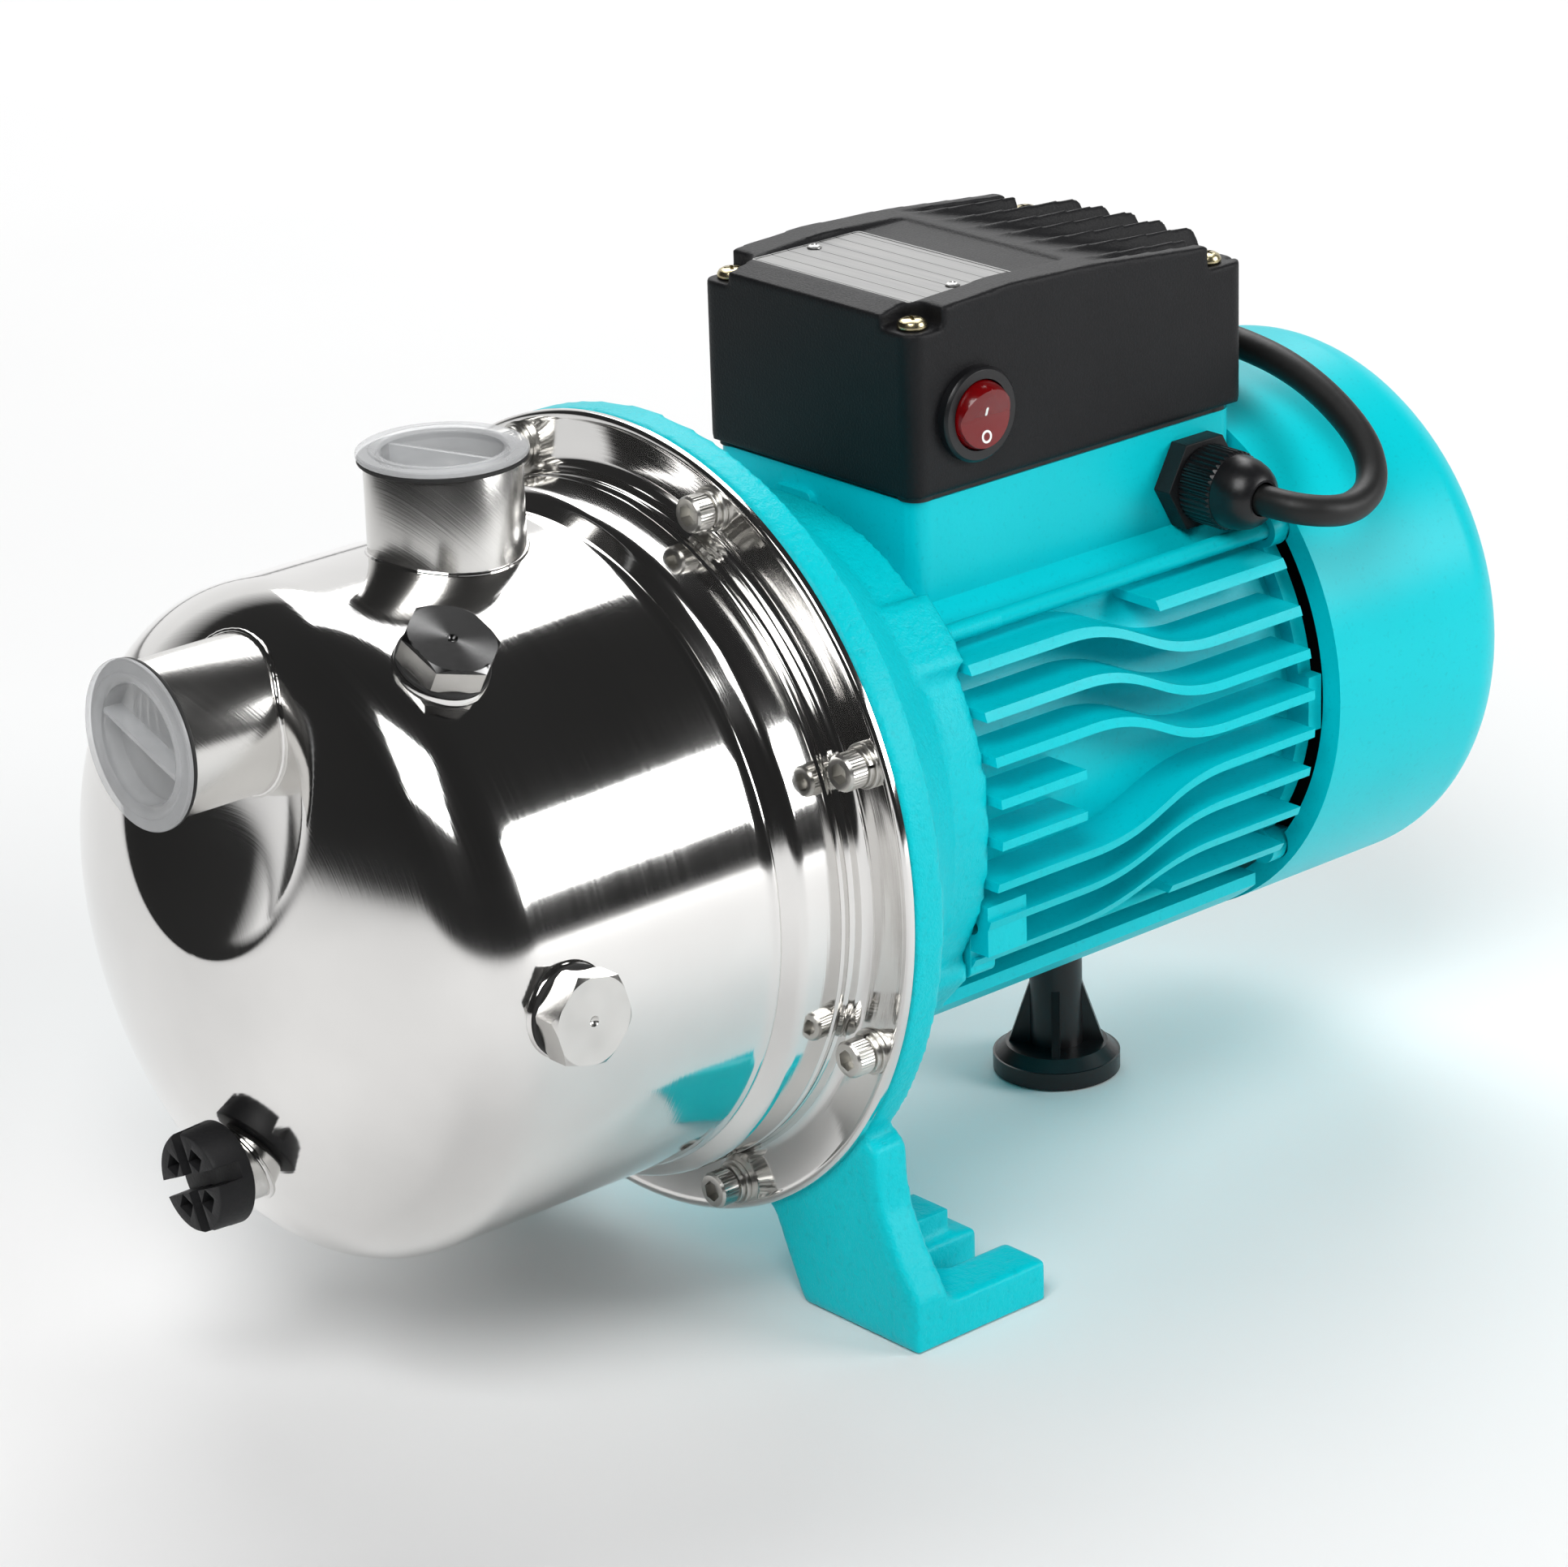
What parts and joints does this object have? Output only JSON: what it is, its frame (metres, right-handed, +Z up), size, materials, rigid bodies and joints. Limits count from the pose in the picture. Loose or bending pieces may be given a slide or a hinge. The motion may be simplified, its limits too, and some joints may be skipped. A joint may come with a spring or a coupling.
{
  "type": "jet pump",
  "caption": "Self-priming shallow well jet pump: stainless casing, cast bracket with feet, finned electric motor, switch box, fan cover and power cord.",
  "frame": {"origin": "on the floor, midway between the bolt slots of the two front feet", "axes": "+X along the shaft from the pump end to the motor fan, +Z up, -Y the side with the rocker switch and cable gland"},
  "size_m": [0.4138, 0.3291, 0.2523],
  "materials": {
    "stainless_casing": "mirror polished drawn stainless steel",
    "stainless_fittings": "satin turned stainless steel",
    "zinc_steel": "bright zinc plated steel",
    "shaft_steel": "ground steel",
    "core_steel": "stacked sheet steel",
    "brass_parts": "cast brass",
    "copper_winding": "varnished copper wire",
    "teal_cast_iron": "teal paint over cast iron",
    "teal_aluminium": "teal paint over cast aluminium",
    "teal_steel": "teal paint over steel rod",
    "teal_cover": "teal moulded cover",
    "plate_aluminium": "blank plate, satin",
    "black_rubber": "matt",
    "milky_cap": "translucent polyethylene",
    "black_plastic": "moulded, matt",
    "box_plastic": "textured matt moulding",
    "pump_plastic": "glass filled plastic",
    "ceramic_dark": "lapped carbon and ceramic",
    "capacitor_shell": "plain plastic can",
    "red_button": "translucent red",
    "black_cord": "rubber sheathed cord"
  },
  "bodies": {
    "pump_unit": {"bearing_outer_races": "shaft_steel", "capacitor": "capacitor_shell", "casing_o_ring": "black_rubber", "cord_coil": "black_cord", "cover_screws": "zinc_steel", "diffuser": "pump_plastic", "discharge_socket": "stainless_fittings", "drain_nipple": "stainless_fittings", "ejector_body": "pump_plastic", "ejector_nozzle": "pump_plastic", "fan_cover": "teal_cover", "fan_cover_screws": "zinc_steel", "flange_screws": "zinc_steel", "flange_spring_washers": "zinc_steel", "flange_washers": "zinc_steel", "gland_body": "black_plastic", "gland_locknut": "black_plastic", "gland_nut": "black_plastic", "gland_seal": "black_rubber", "motor_housing": "teal_aluminium", "nameplate": "plate_aluminium", "nameplate_rivets": "plate_aluminium", "power_cord": "black_cord", "power_plug": "black_cord", "pump_bracket": "teal_cast_iron", "pump_casing": "stainless_casing", "rear_foot": "black_plastic", "rear_shield": "teal_aluminium", "seal_plate": "stainless_fittings", "seal_seat": "ceramic_dark", "stator_core": "core_steel", "stator_winding": "copper_winding", "suction_seal_ring": "black_rubber", "suction_socket": "stainless_fittings", "switch_body": "black_plastic", "terminal_block": "pump_plastic", "terminal_cover": "box_plastic", "terminal_gasket": "black_rubber", "tie_bolts": "teal_steel"},
    "shaft_group": {"shaft": "shaft_steel", "rotor": "core_steel", "fan": "black_plastic", "fan_clip": "shaft_steel", "impeller": "brass_parts", "impeller_nut": "zinc_steel", "seal_rotor": "ceramic_dark", "slinger": "black_rubber", "bearing_inner_races": "shaft_steel"},
    "ball_group": {"bearing_balls": "shaft_steel"},
    "rocker": {"rocker_button": "red_button"},
    "suction_cap_group": {"suction_cap": "milky_cap", "suction_cap_gasket": "black_rubber"},
    "discharge_cap_group": {"discharge_cap": "milky_cap", "discharge_cap_gasket": "black_rubber"},
    "filler_plug_group": {"filler_plug": "stainless_fittings", "filler_plug_washer": "black_rubber"},
    "gauge_plug_group": {"gauge_plug": "stainless_fittings", "gauge_plug_washer": "black_rubber"},
    "drain_plug_group": {"drain_plug": "black_plastic", "drain_seal": "black_rubber"}
  },
  "joints": [
    {"name": "shaft_spin", "type": "hinge", "parent": "pump_unit", "child": "shaft_group", "pos_m": [0.024, 0, 0.1213], "axis": [1, 0, 0], "continuous": true},
    {"name": "ball_spin", "type": "hinge", "parent": "pump_unit", "child": "ball_group", "pos_m": [0.014, 0, 0.1213], "axis": [1, 0, 0], "continuous": true},
    {"name": "rocker_tilt", "type": "hinge", "parent": "pump_unit", "child": "rocker", "pos_m": [0.0518, -0.0428, 0.2203], "axis": [1, 0, 0], "range_deg": [-14, 0]},
    {"name": "suction_cap_pull", "type": "slide", "parent": "pump_unit", "child": "suction_cap_group", "axis": [-1, 0, 0], "range_m": [0, 0.08]},
    {"name": "discharge_cap_pull", "type": "slide", "parent": "pump_unit", "child": "discharge_cap_group", "axis": [0, 0, 1], "range_m": [0, 0.08]},
    {"name": "filler_plug_out", "type": "slide", "parent": "pump_unit", "child": "filler_plug_group", "axis": [0, -0.5, 0.866], "range_m": [0, 0.03]},
    {"name": "gauge_plug_out", "type": "slide", "parent": "pump_unit", "child": "gauge_plug_group", "axis": [0, -1, 0], "range_m": [0, 0.03]},
    {"name": "drain_plug_out", "type": "slide", "parent": "pump_unit", "child": "drain_plug_group", "axis": [-1, 0, 0], "range_m": [0, 0.03]}
  ],
  "couplings": [
    {"joint": "ball_spin", "follows": "shaft_spin", "ratio": 0.3807}
  ]
}
